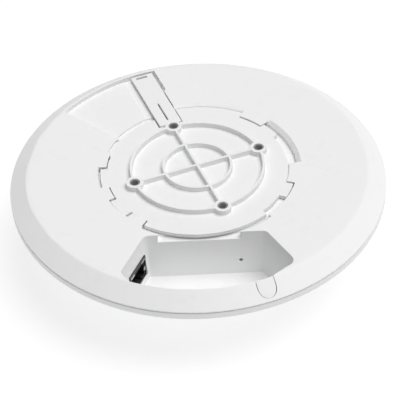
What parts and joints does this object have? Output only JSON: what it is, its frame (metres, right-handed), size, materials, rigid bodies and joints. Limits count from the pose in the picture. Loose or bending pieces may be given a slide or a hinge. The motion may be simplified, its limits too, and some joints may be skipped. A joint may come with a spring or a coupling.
{
  "type": "ceiling access point",
  "caption": "Round wireless access point with a domed front, a port recess in its flat back and a twist-lock mounting bracket with a springing arm.",
  "frame": {"origin": "middle of the mounting bracket, where its ribs cross, in the plane that meets the ceiling", "axes": "+Z towards the ceiling, -Y towards the port recess, +X to the right of the recess with the back seen upright"},
  "size_m": [0.17, 0.17, 0.044],
  "materials": {
    "white_plastic": "fine satin grain, white",
    "bracket_plastic": "fine matt grain, white",
    "frosted_plastic": "frosted, slightly translucent",
    "tinned_steel": "tinned, satin",
    "blackened_steel": "blackened, satin",
    "black_plastic": "black, satin",
    "gold_plate": "gold plated, bright",
    "switch_white": "white, matt",
    "board_green": "green lacquer, satin",
    "aluminium": "plain rolled",
    "thermal_pad": "soft, matt",
    "ferrite": "dark grey, matt",
    "capacitor_sleeve": "shrink sleeve, gloss",
    "cable_jacket": "brown film, satin",
    "lamp_lens": "clear yellowish, gloss"
  },
  "bodies": {
    "access_point": {"board_screw_1": "tinned_steel", "board_screw_2": "tinned_steel", "board_screw_3": "tinned_steel", "board_screw_4": "tinned_steel", "cable_knockout": "white_plastic", "centre_cap": "white_plastic", "flash_chip": "black_plastic", "front_cover": "white_plastic", "heat_spreader": "aluminium", "high_band_antenna_1": "tinned_steel", "high_band_antenna_2": "tinned_steel", "high_band_antenna_3": "tinned_steel", "high_band_chip": "black_plastic", "high_band_shield": "tinned_steel", "high_band_thermal_pad": "thermal_pad", "jack_contacts": "gold_plate", "jack_insert": "black_plastic", "jack_shell": "tinned_steel", "led_board": "switch_white", "led_cable": "cable_jacket", "light_ring": "frosted_plastic", "low_band_antenna_1": "tinned_steel", "low_band_antenna_2": "tinned_steel", "low_band_antenna_3": "tinned_steel", "low_band_chip": "black_plastic", "low_band_shield": "tinned_steel", "low_band_thermal_pad": "thermal_pad", "main_board": "board_green", "memory_chip": "black_plastic", "network_transformer": "black_plastic", "power_capacitor_1": "capacitor_sleeve", "power_capacitor_2": "capacitor_sleeve", "power_transformer": "ferrite", "processor_chip": "black_plastic", "processor_shield": "tinned_steel", "processor_thermal_pad": "thermal_pad", "rear_casing": "white_plastic", "reset_switch_body": "black_plastic", "status_lamp_1": "lamp_lens", "status_lamp_2": "lamp_lens", "status_lamp_3": "lamp_lens", "status_lamp_4": "lamp_lens"},
    "bracket": {"mounting_bracket": "bracket_plastic", "screw_sleeve_1": "blackened_steel", "screw_sleeve_2": "blackened_steel", "screw_sleeve_3": "blackened_steel", "screw_sleeve_4": "blackened_steel"},
    "locking_arm": {"locking_arm": "bracket_plastic"},
    "reset_button": {"reset_button": "switch_white"}
  },
  "joints": [
    {"name": "bracket_twist", "type": "hinge", "parent": "access_point", "child": "bracket", "pos_m": [0, 0, 0], "axis": [0, 0, 1], "range_deg": [0, 30]},
    {"name": "locking_arm_flex", "type": "hinge", "parent": "bracket", "child": "locking_arm", "pos_m": [-0.01176, 0.03232, -0.0027], "axis": [0.9397, 0.342, 0], "range_deg": [0, 2.5], "stiffness_Nm_per_rad": 3.8},
    {"name": "reset_press", "type": "slide", "parent": "access_point", "child": "reset_button", "axis": [0, 1, 0], "range_m": [0, 0.0003], "stiffness_N_per_m": 8000}
  ]
}
